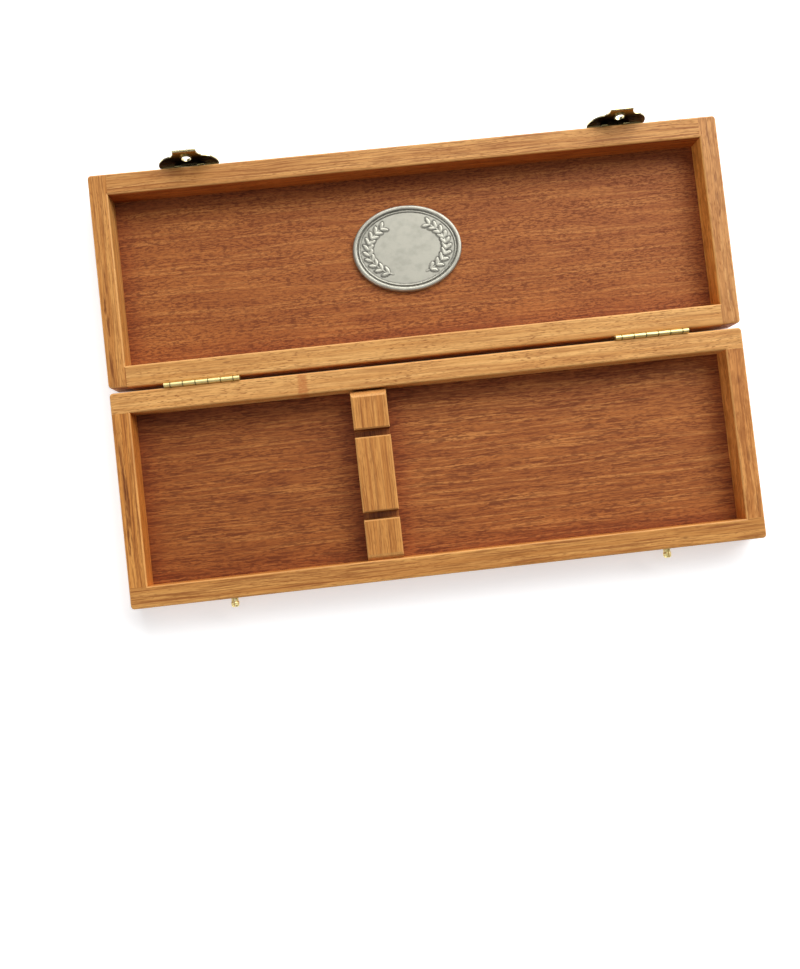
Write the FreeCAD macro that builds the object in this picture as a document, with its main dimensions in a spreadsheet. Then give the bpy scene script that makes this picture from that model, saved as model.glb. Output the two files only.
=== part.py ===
import FreeCAD, Part
import math
import os
import re
import Sketcher
from FreeCAD import Placement, Rotation, Vector

# Hinged wooden case for a pair of knives, open flat with both rims up, in millimetres.
# Origin: centre of the base's underside. X runs along the case, +Y towards the lid, Z up.

doc = FreeCAD.newDocument("KnifeCase")
sheet = doc.addObject("Spreadsheet::Sheet", "Sizes")

sizes = [
    ("case_length", 320.0, "both halves, along X"),
    ("half_depth", 107.5, "one half, along Y"),
    ("frame_height", 12.0, "height of the boards, so the depth of each recess"),
    ("panel_thickness", 4.0, "plywood glued over the frame"),
    ("rail_thickness", 10.6, "front and back boards"),
    ("end_thickness", 9.3, "left and right boards"),
    ("corner_radius", 1.8, "upright outer corners"),
    ("rim_rounding", 1.0, "rim edges, inside and outside"),
    ("panel_chamfer", 2.4, "outer edge of the plywood"),
    ("closing_gap", 0.2, "between the rims when closed"),
    ("bar_width", 18.0, "rest bar, along X"),
    ("bar_height", 12.0, "rest bar, above the panel"),
    ("bar_place", 109.4, "clear length of the left compartment"),
    ("bar_end_gap", 1.2, "bar to back board"),
    ("bar_end_chamfer", 2.4, "top edges at the bar's ends"),
    ("bar_edge_chamfer", 0.7, "long top edges of the bar"),
    ("notch_width", 3.9, "blade notch"),
    ("notch_depth", 8.0, "blade notch, below the bar's top"),
    ("notch_spacing", 41.5, "between the two notches"),
    ("notch_rounding", 0.8, "floor corners of the notches"),
    ("hinge_length", 37.5, "barrel and leaves"),
    ("hinge_inset", 27.4, "case end to hinge"),
    ("hinge_barrel", 2.4, "barrel diameter, also the gap between the halves"),
    ("hinge_pin", 1.0, "pin diameter"),
    ("hinge_sheet", 0.65, "leaf thickness"),
    ("hinge_leaf", 9.5, "axis to the edge of a leaf"),
    ("knuckle_gap", 0.12, "between neighbouring knuckles, along the pin"),
    ("knuckle_clearance", 0.25, "round a turning knuckle"),
    ("pin_clearance", 0.03, "pin to bore, radial"),
    ("screw_head", 2.8, "countersunk head diameter"),
    ("screw_shank", 1.4, "shank diameter"),
    ("screw_length", 7.0, "head to point"),
    ("screw_row", 5.6, "axis to the row of screws"),
    ("screw_margin", 5.0, "hinge end to the outer screws"),
    ("screw_clearance", 0.03, "screw, nail and stud to their holes, radial"),
    ("catch_inset", 50.6, "case end to the middle of a catch"),
    ("catch_drop", 4.8, "rim to the hasp's axis"),
    ("catch_width", 30.0, "hasp and plate across the lobes"),
    ("catch_barrel", 2.2, "barrel diameter"),
    ("catch_pin", 1.0, "pin diameter"),
    ("catch_sheet", 0.6, "sheet thickness of hasp and plate"),
    ("catch_middle", 8.2, "hasp's knuckle, along the pin"),
    ("catch_side", 3.0, "each of the plate's knuckles, along the pin"),
    ("plate_length", 7.0, "axis to the plate's end"),
    ("plate_tip", 9.6, "width of the plate's end"),
    ("plate_shoulder", 5.6, "axis to the plate's shoulders"),
    ("hasp_length", 14.4, "axis to the hasp's lip"),
    ("hasp_tip", 12.0, "width of the lip"),
    ("hasp_shoulder", 10.0, "axis to the hasp's shoulders"),
    ("shoulder_width", 15.6, "across the shoulders"),
    ("lobe_level", 1.8, "axis to the widest line of the lobes"),
    ("lobe_foot", 28.4, "width at the foot of the lobes"),
    ("lobe_drop", 0.5, "how far the hasp's lobes hang below the axis"),
    ("lip_rise", 0.6, "how far the lip turns out"),
    ("lip_length", 1.6, "length of the turned lip"),
    ("hasp_reach", 8.6, "axis to the middle of the stud hole"),
    ("flange_height", 0.6, "collar of the stud hole"),
    ("flange_wall", 0.7, "collar of the stud hole"),
    ("hasp_lean", 5.0, "degrees that the hasp leans out from its closed line"),
    ("nail_head", 2.0, "head diameter"),
    ("nail_rise", 0.45, "head height"),
    ("nail_shank", 1.2, "shank diameter"),
    ("nail_length", 6.0, "below the head"),
    ("nail_spacing", 20.0, "between the two nails of a plate"),
    ("nail_row", 3.2, "axis to the nails"),
    ("stud_head", 3.9, "widest part of the split head"),
    ("stud_neck", 3.5, "behind the head"),
    ("stud_shank", 2.2, "in the wood"),
    ("stud_reach", 4.6, "face to tip"),
    ("stud_bulge", 3.0, "face to the widest part"),
    ("stud_waist", 1.8, "face to the start of the bulge"),
    ("stud_depth", 7.0, "shank in the wood"),
    ("stud_slot", 0.7, "split between the prongs"),
    ("stud_hole_gap", 0.35, "stud head to the hasp's hole, radial"),
    ("badge_length", 56.4, "oval badge, along X"),
    ("badge_width", 44.8, "oval badge, along Y"),
    ("badge_thickness", 2.2, "border height above the panel"),
    ("badge_border", 2.3, "width of the border"),
    ("badge_round", 0.8, "rounded edge of the border"),
    ("badge_groove", 0.5, "between border and bead"),
    ("badge_bead", 0.9, "width of the thin raised line"),
    ("badge_recess", 0.6, "border to field"),
    ("badge_left", 3.9, "lid's middle to the badge's middle, towards -X"),
    ("badge_up", 4.4, "lid's middle to the badge's middle, away from the hinges"),
]
names = [row[0] for row in sizes]
for number, (name, amount, note) in enumerate(sizes, start=1):
    sheet.set("A%d" % number, name)
    sheet.set("B%d" % number, str(amount))
    sheet.setAlias("B%d" % number, name)
    sheet.set("C%d" % number, note)
doc.recompute()

rim = "(panel_thickness + frame_height)"
finger = "(frame_height / 3)"
axis_y = "(half_depth / 2 + hinge_barrel / 2)"
axis_z = "(panel_thickness + frame_height + closing_gap / 2)"
lid_near = "(half_depth / 2 + hinge_barrel)"
lid_middle = "(half_depth + hinge_barrel)"
lid_far = "(1.5 * half_depth + hinge_barrel)"
hinge_x = "(case_length / 2 - hinge_inset - hinge_length / 2)"
catch_x = "(case_length / 2 - catch_inset)"
catch_offset = "(catch_barrel / 2 + knuckle_clearance)"
catch_z = "(panel_thickness + frame_height - catch_drop)"
stud_z = "(panel_thickness + frame_height + closing_gap + catch_drop - hasp_reach)"

alongX = Rotation(Vector(0, 1, 0), 90)
alongY = Rotation(Vector(1, 0, 0), -90)
againstY = Rotation(Vector(1, 0, 0), 90)


def linked(text):
    return re.sub(r"[a-z_]+", lambda m: "Sizes." + m.group(0) if m.group(0) in names else m.group(0), text)


def value(text):
    return float(sheet.evalExpression(text))


def bind(thing, field, text):
    thing.setExpression(field, linked(text))


def put(thing, x, y, z, turn=None):
    if turn is not None:
        thing.Placement = Placement(Vector(0, 0, 0), turn)
    for field, text in zip("xyz", (x, y, z)):
        bind(thing, "Placement.Base." + field, text)
    return thing


def box(label, x, y, z, long, wide, tall):
    block = doc.addObject("Part::Box", label)
    bind(block, "Length", long)
    bind(block, "Width", wide)
    bind(block, "Height", tall)
    return put(block, x, y, z)


def rod(label, radius, length, x, y, z, turn):
    cylinder = doc.addObject("Part::Cylinder", label)
    bind(cylinder, "Radius", radius)
    bind(cylinder, "Height", length)
    return put(cylinder, x, y, z, turn)


def cone(label, start, end, length, x, y, z, turn):
    frustum = doc.addObject("Part::Cone", label)
    bind(frustum, "Radius1", start)
    bind(frustum, "Radius2", end)
    bind(frustum, "Height", length)
    return put(frustum, x, y, z, turn)


def fuse(label, pieces):
    joined = doc.addObject("Part::MultiFuse", label)
    joined.Shapes = pieces
    return joined


def cut(label, base, tools):
    left = doc.addObject("Part::Cut", label)
    left.Base = base
    left.Tool = tools[0] if len(tools) == 1 else fuse(label + "_tools", tools)
    return left


def common(label, one, other):
    shared = doc.addObject("Part::Common", label)
    shared.Base = one
    shared.Tool = other
    return shared


def group(label, pieces):
    bundle = doc.addObject("Part::Compound", label)
    bundle.Links = pieces
    return bundle


def newSketch(body, label, role, lift=None):
    sketch = body.newObject("Sketcher::SketchObject", label)
    plane = [f for f in body.Origin.OriginFeatures if f.Role == role][0]
    sketch.AttachmentSupport = [(plane, "")]
    sketch.MapMode = "FlatFace"
    if lift:
        bind(sketch, "AttachmentOffset.Base.z", lift)
    return sketch


def hold(sketch, geometry, point, x, y):
    # Ties a point of the sketch to two sizes measured from its origin.
    for kind, text, line in (("DistanceX", x, -2), ("DistanceY", y, -1)):
        if text == "0":
            sketch.addConstraint(Sketcher.Constraint("PointOnObject", geometry, point, line))
        else:
            mark = sketch.addConstraint(Sketcher.Constraint(kind, -1, 1, geometry, point, value(text)))
            bind(sketch, "Constraints[%d]" % mark, text)


def outline(sketch, corners, bends=None):
    # Closed outline, anticlockwise. A bend turns a side into an arc: its radius is the bend times the chord,
    # swelling outwards where the bend is positive and inwards where it is negative.
    bends = bends or {}
    sides = []
    spots = [Vector(value(x), value(y), 0) for x, y in corners]
    for i, start in enumerate(spots):
        end = spots[(i + 1) % len(spots)]
        bend = bends.get(i)
        if bend is None:
            sides.append((sketch.addGeometry(Part.LineSegment(start, end), False), 1, 2))
            continue
        chord = end - start
        radius = abs(bend) * chord.Length
        left = Vector(-chord.y, chord.x, 0).normalize()
        rise = math.sqrt(radius ** 2 - (chord.Length / 2) ** 2) * (1 if bend > 0 else -1)
        centre = (start + end) * 0.5 + left * rise
        first, last = (start, end) if bend > 0 else (end, start)
        a0 = math.atan2(first.y - centre.y, first.x - centre.x)
        a1 = math.atan2(last.y - centre.y, last.x - centre.x)
        ring = Part.Circle(centre, Vector(0, 0, 1), radius)
        arc = sketch.addGeometry(Part.ArcOfCircle(ring, a0, a1 if a1 > a0 else a1 + 2 * math.pi), False)
        sides.append((arc, 1, 2) if bend > 0 else (arc, 2, 1))
        (x1, y1), (x2, y2) = corners[i], corners[(i + 1) % len(corners)]
        text = "%.6f * sqrt((%s - (%s))^2 + (%s - (%s))^2)" % (abs(bend), x2, x1, y2, y1)
        mark = sketch.addConstraint(Sketcher.Constraint("Radius", arc, radius))
        bind(sketch, "Constraints[%d]" % mark, text)
    for i, (side, head, tail) in enumerate(sides):
        following, start, _ = sides[(i + 1) % len(sides)]
        sketch.addConstraint(Sketcher.Constraint("Coincident", side, tail, following, start))
    for (side, head, tail), (x, y) in zip(sides, corners):
        hold(sketch, side, head, x, y)


def rectangle(sketch, left, right, low, high):
    outline(sketch, [(left, low), (right, low), (right, high), (left, high)])


def circle(sketch, x, y, radius):
    ring = sketch.addGeometry(Part.Circle(Vector(value(x), value(y), 0), Vector(0, 0, 1), value(radius)), False)
    hold(sketch, ring, 3, x, y)
    mark = sketch.addConstraint(Sketcher.Constraint("Radius", ring, value(radius)))
    bind(sketch, "Constraints[%d]" % mark, radius)


def pad(body, label, sketch, length, both=False):
    raised = body.newObject("PartDesign::Pad", label)
    raised.Profile = sketch
    bind(raised, "Length", length)
    if both:
        raised.SideType = "Symmetric"
    doc.recompute()
    return raised


def pocket(body, label, sketch, length):
    # Cuts half of the length to each side of the sketch, and must take something away.
    before = body.Shape.Volume
    sunk = body.newObject("PartDesign::Pocket", label)
    sunk.Profile = sketch
    bind(sunk, "Length", length)
    sunk.SideType = "Symmetric"
    doc.recompute()
    if not body.Shape.Volume < before - 1e-6:
        raise RuntimeError(label + " cuts nothing")
    return sunk


def edges(feature, wanted):
    # Names of the feature's edges whose ends both satisfy the test.
    found = []
    for number, edge in enumerate(feature.Shape.Edges, start=1):
        if wanted(edge, [v.Point for v in edge.Vertexes]):
            found.append("Edge%d" % number)
    if not found:
        raise RuntimeError("no edge found on " + feature.Label)
    return found


def near(one, other):
    return abs(one - other) < 1e-4


def dress(body, kind, label, feature, wanted, field, text):
    dressed = body.newObject("PartDesign::" + kind, label)
    dressed.Base = (feature, edges(feature, wanted))
    bind(dressed, field, text)
    doc.recompute()
    return dressed


def roundedOutline(sketch, middle):
    x, r = "case_length / 2", "corner_radius"
    low, high = "%s - half_depth / 2" % middle, "%s + half_depth / 2" % middle
    corners = [
        ("-%s + %s" % (x, r), low), ("%s - %s" % (x, r), low),
        (x, "%s + %s" % (low, r)), (x, "%s - %s" % (high, r)),
        ("%s - %s" % (x, r), high), ("-%s + %s" % (x, r), high),
        ("-" + x, "%s - %s" % (high, r)), ("-" + x, "%s + %s" % (low, r)),
    ]
    quarter = math.sqrt(0.5)
    outline(sketch, corners, {1: quarter, 3: quarter, 5: quarter, 7: quarter})


# The frame of one half as it is after gluing up and rounding over: the boards are shared out of it.
def frameBlank(label, middle):
    body = doc.addObject("PartDesign::Body", label)
    plan = newSketch(body, label + "_plan", "XY_Plane", "panel_thickness")
    roundedOutline(plan, middle)
    x = "case_length / 2 - end_thickness"
    y = "half_depth / 2 - rail_thickness"
    rectangle(plan, "-(%s)" % x, x, "%s - (%s)" % (middle, y), "%s + %s" % (middle, y))
    ring = pad(body, label + "_ring", plan, "frame_height")
    top = value(rim)
    atRim = lambda edge, ends: all(near(p.z, top) for p in ends)
    dress(body, "Fillet", label + "_rim", ring, atRim, "Radius", "min(rim_rounding; 0.8 * corner_radius)")
    return body


# Boards meet in finger joints of three layers. A through board shows at the rim, a tongue board lies between.
def throughBoard(label, blank, x, y, long, wide, endwise):
    whole = box(label + "_stock", x, y, "panel_thickness", long, wide, "frame_height")
    level = "panel_thickness + " + finger
    if endwise:
        far = "%s + %s - end_thickness" % (x, long)
        slots = [box(label + "_slot_a", x, y, level, "end_thickness", wide, finger),
                 box(label + "_slot_b", far, y, level, "end_thickness", wide, finger)]
    else:
        far = "%s + %s - rail_thickness" % (y, wide)
        slots = [box(label + "_slot_a", x, y, level, long, "rail_thickness", finger),
                 box(label + "_slot_b", x, far, level, long, "rail_thickness", finger)]
    return common(label + "_board", blank, cut(label + "_share", whole, slots))


def tongueBoard(label, blank, x, y, long, wide, endwise):
    tongue = box(label + "_tongue", x, y, "panel_thickness + " + finger, long, wide, finger)
    if endwise:
        core = box(label + "_core", x + " + end_thickness", y, "panel_thickness",
                   long + " - 2 * end_thickness", wide, "frame_height")
    else:
        core = box(label + "_core", x, y + " + rail_thickness", "panel_thickness",
                   long, wide + " - 2 * rail_thickness", "frame_height")
    return common(label + "_board", blank, fuse(label + "_share", [core, tongue]))


# Plywood over the frame: a chamfered sheet with the frame's rounded corners.
def panel(label, middle):
    sheetBody = doc.addObject("PartDesign::Body", label + "_sheet")
    plan = newSketch(sheetBody, label + "_plan", "XY_Plane")
    x, y = "case_length / 2", "half_depth / 2"
    rectangle(plan, "-" + x, x, "%s - %s" % (middle, y), "%s + %s" % (middle, y))
    flat = pad(sheetBody, label + "_flat", plan, "panel_thickness")
    atFoot = lambda edge, ends: all(near(p.z, 0) for p in ends)
    dress(sheetBody, "Chamfer", label + "_bevel", flat, atFoot, "Size", "min(panel_chamfer; 0.9 * panel_thickness)")
    cornerBody = doc.addObject("PartDesign::Body", label + "_corners")
    sketch = newSketch(cornerBody, label + "_outline", "XY_Plane")
    roundedOutline(sketch, middle)
    pad(cornerBody, label + "_prism", sketch, "panel_thickness")
    return common(label, sheetBody, cornerBody)


# Sheet rolled into a barrel: section across the axis, wood on the side of the sign.
def rolledLeaf(sketch, side, offset, barrel, thickness, reach, bore):
    b = "(%s / 2)" % barrel
    inner = "(%s - %s)" % (offset, thickness)
    drop = "-sqrt(%s^2 - %s^2)" % (b, inner)
    start = "-sqrt(max(%s^2 - %s^2; 0))" % (b, offset)
    corners = [
        ("-" + offset, "-" + reach), ("-" + inner, "-" + reach), ("-" + inner, drop),
        ("0", "-" + b), (b, "0"), ("0", b), ("-" + b, "0"), ("-" + offset, "0"),
    ]
    turn = math.sqrt(0.5)
    bends = {2: 0.9, 3: turn, 4: turn, 5: turn}
    if near(value(offset), value(b)):
        corners = corners[:-1]
    angle = math.atan2(value(inner), -value(drop))
    bends[2] = 0.5 / math.sin(angle / 2)
    if side > 0:
        corners = [(x if x == "0" else "-(%s)" % x, y) for x, y in corners][::-1]
        count = len(corners)
        bends = {(count - 2 - i) % count: bend for i, bend in bends.items()}
    outline(sketch, corners, bends)
    circle(sketch, "0", "0", bore)


pitch = "(hinge_length / 6)"
ownKnuckles = {-1: [(0, 0.5), (1.5, 2.5), (3.5, 4.5), (5.5, 6)], 1: [(0.5, 1.5), (2.5, 3.5), (4.5, 5.5)]}


def screwSpots(hinge):
    middle = "(%s%s)" % (hinge, hinge_x)
    return [middle + " - (hinge_length / 2 - screw_margin)", middle, middle + " + hinge_length / 2 - screw_margin"]


def hingeLeaf(label, hinge, side):
    body = doc.addObject("PartDesign::Body", label + "_rolled")
    section = newSketch(body, label + "_section", "YZ_Plane")
    rolledLeaf(section, side, "(hinge_barrel / 2)", "hinge_barrel", "hinge_sheet", "hinge_leaf",
               "hinge_pin / 2 + pin_clearance")
    pad(body, label + "_strip", section, "hinge_length", both=True)
    gaps = newSketch(body, label + "_gaps", "XZ_Plane")
    for start, end in ownKnuckles[-side]:
        left = "-hinge_length / 2 + %s * %s - %s" % (start, pitch, "knuckle_gap / 2" if start else "1")
        right = "-hinge_length / 2 + %s * %s + %s" % (end, pitch, "knuckle_gap / 2" if end < 6 else "1")
        rectangle(gaps, left, right, "-hinge_barrel / 2 - knuckle_clearance", "hinge_barrel")
    pocket(body, label + "_knuckles", gaps, "4 * hinge_barrel")
    put(body, hinge + hinge_x, axis_y, axis_z)
    face = "%s %s (hinge_barrel / 2 - hinge_sheet)" % (axis_y, "+" if side > 0 else "-")
    sinks = []
    for number, x in enumerate(screwSpots(hinge)):
        sinks.append(cone("%s_sink_%d" % (label, number), "screw_head / 2 + screw_clearance",
                          "screw_shank / 2 + screw_clearance", "hinge_sheet", x, face,
                          axis_z + " - screw_row", alongY if side > 0 else againstY))
    return cut(label, body, sinks)


def screw(label, x, side):
    turn = alongY if side > 0 else againstY
    sign = "+" if side > 0 else "-"
    face = "%s %s (hinge_barrel / 2 - hinge_sheet)" % (axis_y, sign)
    wood = "%s %s hinge_barrel / 2" % (axis_y, sign)
    z = axis_z + " - screw_row"
    head = cone(label + "_head", "screw_head / 2", "screw_shank / 2", "hinge_sheet", x, face, z, turn)
    point = "%s %s (screw_length - screw_shank)" % (face, sign)
    shank = rod(label + "_shank", "screw_shank / 2", "screw_length - screw_shank - hinge_sheet", x, wood, z, turn)
    tip = cone(label + "_tip", "screw_shank / 2", "screw_shank / 8", "screw_shank", x, point, z, turn)
    return fuse(label, [head, shank, tip])


def screwHole(label, x, side):
    wood = "%s %s hinge_barrel / 2" % (axis_y, "+" if side > 0 else "-")
    return rod(label, "screw_shank / 2 + screw_clearance", "screw_length", x, wood, axis_z + " - screw_row",
               alongY if side > 0 else againstY)


def allScrewSpots():
    return screwSpots("-") + screwSpots("")


nodes = []

baseFrame = frameBlank("base_frame", "0")
lidFrame = frameBlank("lid_frame", lid_middle)
left, depth = "-case_length / 2", "-half_depth / 2"
right = "case_length / 2 - end_thickness"
back = "half_depth / 2 - rail_thickness"

frontRail = throughBoard("base_front_rail", baseFrame, left, depth, "case_length", "rail_thickness", True)
studHoles = []
for hand, sign in (("left", "-"), ("right", "")):
    studHoles.append(rod("stud_hole_" + hand, "stud_shank / 2 + screw_clearance", "stud_depth + screw_clearance",
                         sign + catch_x, depth, stud_z, alongY))
nodes.append(cut("base_front_rail", frontRail, studHoles))

backRail = throughBoard("base_back_rail", baseFrame, left, back, "case_length", "rail_thickness", True)
holes = [screwHole("base_screw_hole_%d" % i, x, -1) for i, x in enumerate(allScrewSpots())]
nodes.append(cut("base_back_rail", backRail, holes))
for label, x in (("base_left_end", left), ("base_right_end", right)):
    board = tongueBoard(label, baseFrame, x, depth, "end_thickness", "half_depth", False)
    board.Label = label
    nodes.append(board)
nodes.append(panel("base_panel", "0"))

# Rest bar: glued to the panel and against the front board, with two blade notches.
bar = doc.addObject("PartDesign::Body", "rest_bar")
barLength = "(half_depth - 2 * rail_thickness - bar_end_gap)"
barPlan = newSketch(bar, "rest_bar_plan", "XY_Plane")
rectangle(barPlan, "-bar_width / 2", "bar_width / 2", "-%s / 2" % barLength, "%s / 2" % barLength)
barBlock = pad(bar, "rest_bar_block", barPlan, "bar_height")
notches = newSketch(bar, "rest_bar_notch_sketch", "YZ_Plane")
shift = "bar_end_gap / 2"
for sign in ("-", ""):
    middle = "%snotch_spacing / 2 + %s" % (sign, shift)
    rectangle(notches, middle + " - notch_width / 2", middle + " + notch_width / 2",
              "bar_height - notch_depth", "bar_height + 1")
barNotched = pocket(bar, "rest_bar_notches", notches, "2 * bar_width")
notchFloor = value("bar_height - notch_depth")
atFloor = lambda edge, ends: all(near(p.z, notchFloor) for p in ends) and near(ends[0].y, ends[1].y)
barFloors = dress(bar, "Fillet", "rest_bar_floors", barNotched, atFloor, "Radius",
                  "min(notch_rounding; 0.45 * notch_width)")
barTop, barEnd = value("bar_height"), value(barLength + " / 2")
atEnds = lambda edge, ends: all(near(p.z, barTop) and near(abs(p.y), barEnd) for p in ends)
barEnds = dress(bar, "Chamfer", "rest_bar_ends", barFloors, atEnds, "Size", "bar_end_chamfer")
barSide = value("bar_width / 2")
atLong = lambda edge, ends: all(near(p.z, barTop) and near(abs(p.x), barSide) for p in ends)
dress(bar, "Chamfer", "rest_bar_edges", barEnds, atLong, "Size", "bar_edge_chamfer")
put(bar, left + " + end_thickness + bar_place + bar_width / 2", "-bar_end_gap / 2", "panel_thickness")
nodes.append(bar)

# Split brass studs: a bulged head, slit from the tip, on a shank let into the front board.
for hand, sign in (("left", "-"), ("right", "")):
    label = "stud_" + hand
    stud = doc.addObject("PartDesign::Body", label)
    profile = newSketch(stud, label + "_profile", "XY_Plane")
    corners = [
        ("0", "-stud_reach"), ("0.3 * stud_head", "-stud_reach"), ("stud_head / 2", "-stud_bulge"),
        ("stud_neck / 2", "-stud_waist"), ("stud_neck / 2", "0"), ("stud_shank / 2", "0"),
        ("stud_shank / 2", "stud_depth"), ("0", "stud_depth"),
    ]
    outline(profile, corners, {1: 0.75, 2: 0.9})
    turned = stud.newObject("PartDesign::Revolution", label + "_turned")
    turned.Profile = profile
    turned.ReferenceAxis = (profile, ["V_Axis"])
    turned.Angle = 360
    doc.recompute()
    split = newSketch(stud, label + "_split", "XY_Plane")
    rectangle(split, "-stud_slot / 2", "stud_slot / 2", "-stud_reach - 1", "-stud_waist / 3")
    pocket(stud, label + "_slit", split, "2 * stud_head")
    put(stud, sign + catch_x, depth, stud_z)
    nodes.append(stud)

lidFront = tongueBoard("lid_front_rail", lidFrame, left, lid_far + " - rail_thickness", "case_length",
                       "rail_thickness", True)
nailSpots = []
for sign in ("-", ""):
    for step in ("-", "+"):
        nailSpots.append("%s%s %s nail_spacing / 2" % (sign, catch_x, step))
nailHoles = []
for number, x in enumerate(nailSpots):
    nailHoles.append(rod("nail_hole_%d" % number, "nail_shank / 2 + screw_clearance", "nail_length", x, lid_far,
                         catch_z + " - nail_row", againstY))
nodes.append(cut("lid_front_rail", lidFront, nailHoles))
lidBack = tongueBoard("lid_back_rail", lidFrame, left, lid_near, "case_length", "rail_thickness", True)
holes = [screwHole("lid_screw_hole_%d" % i, x, 1) for i, x in enumerate(allScrewSpots())]
nodes.append(cut("lid_back_rail", lidBack, holes))
for label, x in (("lid_left_end", left), ("lid_right_end", right)):
    board = throughBoard(label, lidFrame, x, lid_near, "end_thickness", "half_depth", False)
    board.Label = label
    nodes.append(board)
nodes.append(panel("lid_panel", lid_middle))

# Hinges: each leaf is one strip rolled round the pin, with every other knuckle cut away.
for hand, sign in (("left", "-"), ("right", "")):
    nodes.append(hingeLeaf("hinge_%s_base_leaf" % hand, sign, -1))
    nodes.append(hingeLeaf("hinge_%s_lid_leaf" % hand, sign, 1))
    nodes.append(rod("hinge_%s_pin" % hand, "hinge_pin / 2", "hinge_length",
                     "%s%s - hinge_length / 2" % (sign, hinge_x), axis_y, axis_z, alongX))
for half, side in (("base", -1), ("lid", 1)):
    row = [screw("%s_screw_%d" % (half, i), x, side) for i, x in enumerate(allScrewSpots())]
    nodes.append(group(half + "_hinge_screws", row))


# Oval badge: rounded border, groove, thin bead and a sunk field.
def oval(label, inset, start, length):
    ring = doc.addObject("Part::Ellipse", label + "_line")
    a, b = "badge_length / 2 - (%s)" % inset, "badge_width / 2 - (%s)" % inset
    bind(ring, "MajorRadius", "max(%s; %s)" % (a, b))
    bind(ring, "MinorRadius", "min(%s; %s)" % (a, b))
    bind(ring, "Placement.Rotation.Angle", "badge_length >= badge_width ? 0 : 90")
    put(ring, "-badge_left", lid_middle + " + badge_up", start)
    solid = doc.addObject("Part::Extrusion", label)
    solid.Base = ring
    solid.Solid = True
    solid.DirMode = "Custom"
    solid.Dir = Vector(0, 0, 1)
    bind(solid, "LengthFwd", length)
    return solid


field = "panel_thickness + badge_thickness - badge_recess"
badgeBlank = oval("badge_blank", "0", "panel_thickness", "badge_thickness")
doc.recompute()
badgeEdge = doc.addObject("Part::Fillet", "badge_edge")
badgeEdge.Base = badgeBlank
badgeTop = value("panel_thickness + badge_thickness")
badgeRound = value("min(badge_round; 0.8 * badge_border)")
rings = edges(badgeBlank, lambda edge, ends: all(near(p.z, badgeTop) for p in ends))
badgeEdge.Edges = [(int(ring[4:]), badgeRound, badgeRound) for ring in rings]
sunk = cut("badge_sunk", badgeEdge, [oval("badge_field", "badge_border", field, "badge_thickness")])
bead = cut("badge_bead_ring",
           oval("badge_bead_outer", "badge_border + badge_groove", field, "0.7 * badge_recess"),
           [oval("badge_bead_inner", "badge_border + badge_groove + badge_bead", field, "badge_thickness")])
nodes.append(fuse("lid_badge", [sunk, bead]))

# Catches: a plate nailed to the lid, and a hasp that swings on it. Both are sheet, rolled at the axis and
# trimmed to lobed outlines.
sideStart = "(catch_middle / 2 + knuckle_gap)"
sideEnd = "(catch_middle / 2 + knuckle_gap + catch_side)"
lobeStart = "(catch_middle / 2 + 2 * knuckle_gap + catch_side)"
foot = "(sqrt(%s^2 - (%s)^2) + knuckle_clearance)" % ("catch_barrel / 2 + 0.1", "catch_barrel / 2 - catch_sheet")


def mirrored(half, bends):
    # Completes an outline given from bottom to top on the +X side.
    count = len(half)
    other = [("-(%s)" % x, y) for x, y in half][::-1]
    both = dict(bends)
    for i, bend in bends.items():
        both[2 * count - 2 - i] = bend
    return half + other, both


def catchPlate(label, sign):
    body = doc.addObject("PartDesign::Body", label + "_rolled")
    section = newSketch(body, label + "_section", "YZ_Plane")
    rolledLeaf(section, -1, catch_offset, "catch_barrel", "catch_sheet", "plate_length",
               "catch_pin / 2 + pin_clearance")
    pad(body, label + "_strip", section, "catch_width", both=True)
    trim = doc.addObject("PartDesign::Body", label + "_trim")
    shape = newSketch(trim, label + "_outline", "XZ_Plane")
    half = [
        ("plate_tip / 2", "-plate_length"), ("shoulder_width / 2", "-plate_shoulder"),
        ("catch_width / 2", "-lobe_level"), ("lobe_foot / 2", "-" + foot), (sideEnd, "-" + foot),
        (sideEnd, "catch_barrel"), (sideStart, "catch_barrel"),
        (sideStart, "-catch_barrel / 2 - knuckle_clearance"),
    ]
    corners, bends = mirrored(half, {0: -0.9, 1: 1.2, 2: 0.8})
    outline(shape, corners, bends)
    pad(trim, label + "_prism", shape, "8 * catch_barrel", both=True)
    for part in (body, trim):
        put(part, sign + catch_x, "%s + %s" % (lid_far, catch_offset), catch_z)
    nails = []
    for number, step in enumerate(("-", "+")):
        nails.append(rod("%s_nail_hole_%d" % (label, number), "nail_shank / 2 + screw_clearance",
                         "2 * catch_sheet", "%s%s %s nail_spacing / 2" % (sign, catch_x, step),
                         lid_far + " - catch_sheet / 2", catch_z + " - nail_row", alongY))
    return cut(label, common(label + "_sheet", body, trim), nails)


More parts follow.
